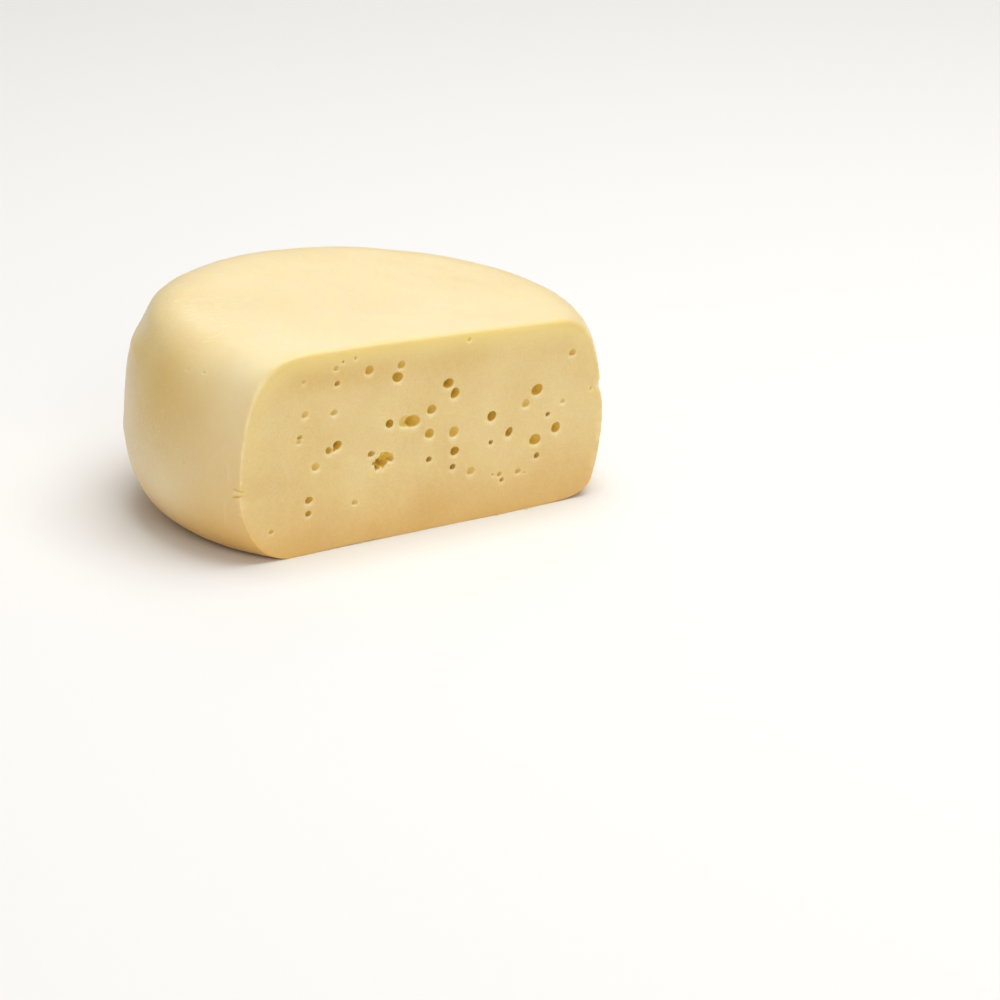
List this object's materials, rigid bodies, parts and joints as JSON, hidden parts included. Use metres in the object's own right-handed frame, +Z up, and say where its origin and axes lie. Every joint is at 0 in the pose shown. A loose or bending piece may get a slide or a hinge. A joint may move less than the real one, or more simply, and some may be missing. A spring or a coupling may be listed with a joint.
{
  "type": "baby swiss cheese",
  "caption": "Small round wheel of baby swiss cheese with a segment sliced off, its flat cut face open on small gas eyes; it rests on its flat foot.",
  "frame": {"origin": "middle of the bounding box, on the floor that the cheese rests on", "axes": "+Z up, +X along the cut face, +Y from the cut face to the round back"},
  "size_m": [0.195, 0.1436, 0.0873],
  "materials": {
    "cheese": "satin, pale cream-yellow, slightly translucent"
  },
  "bodies": {
    "root": {"cheese": "cheese"}
  },
  "joints": []
}
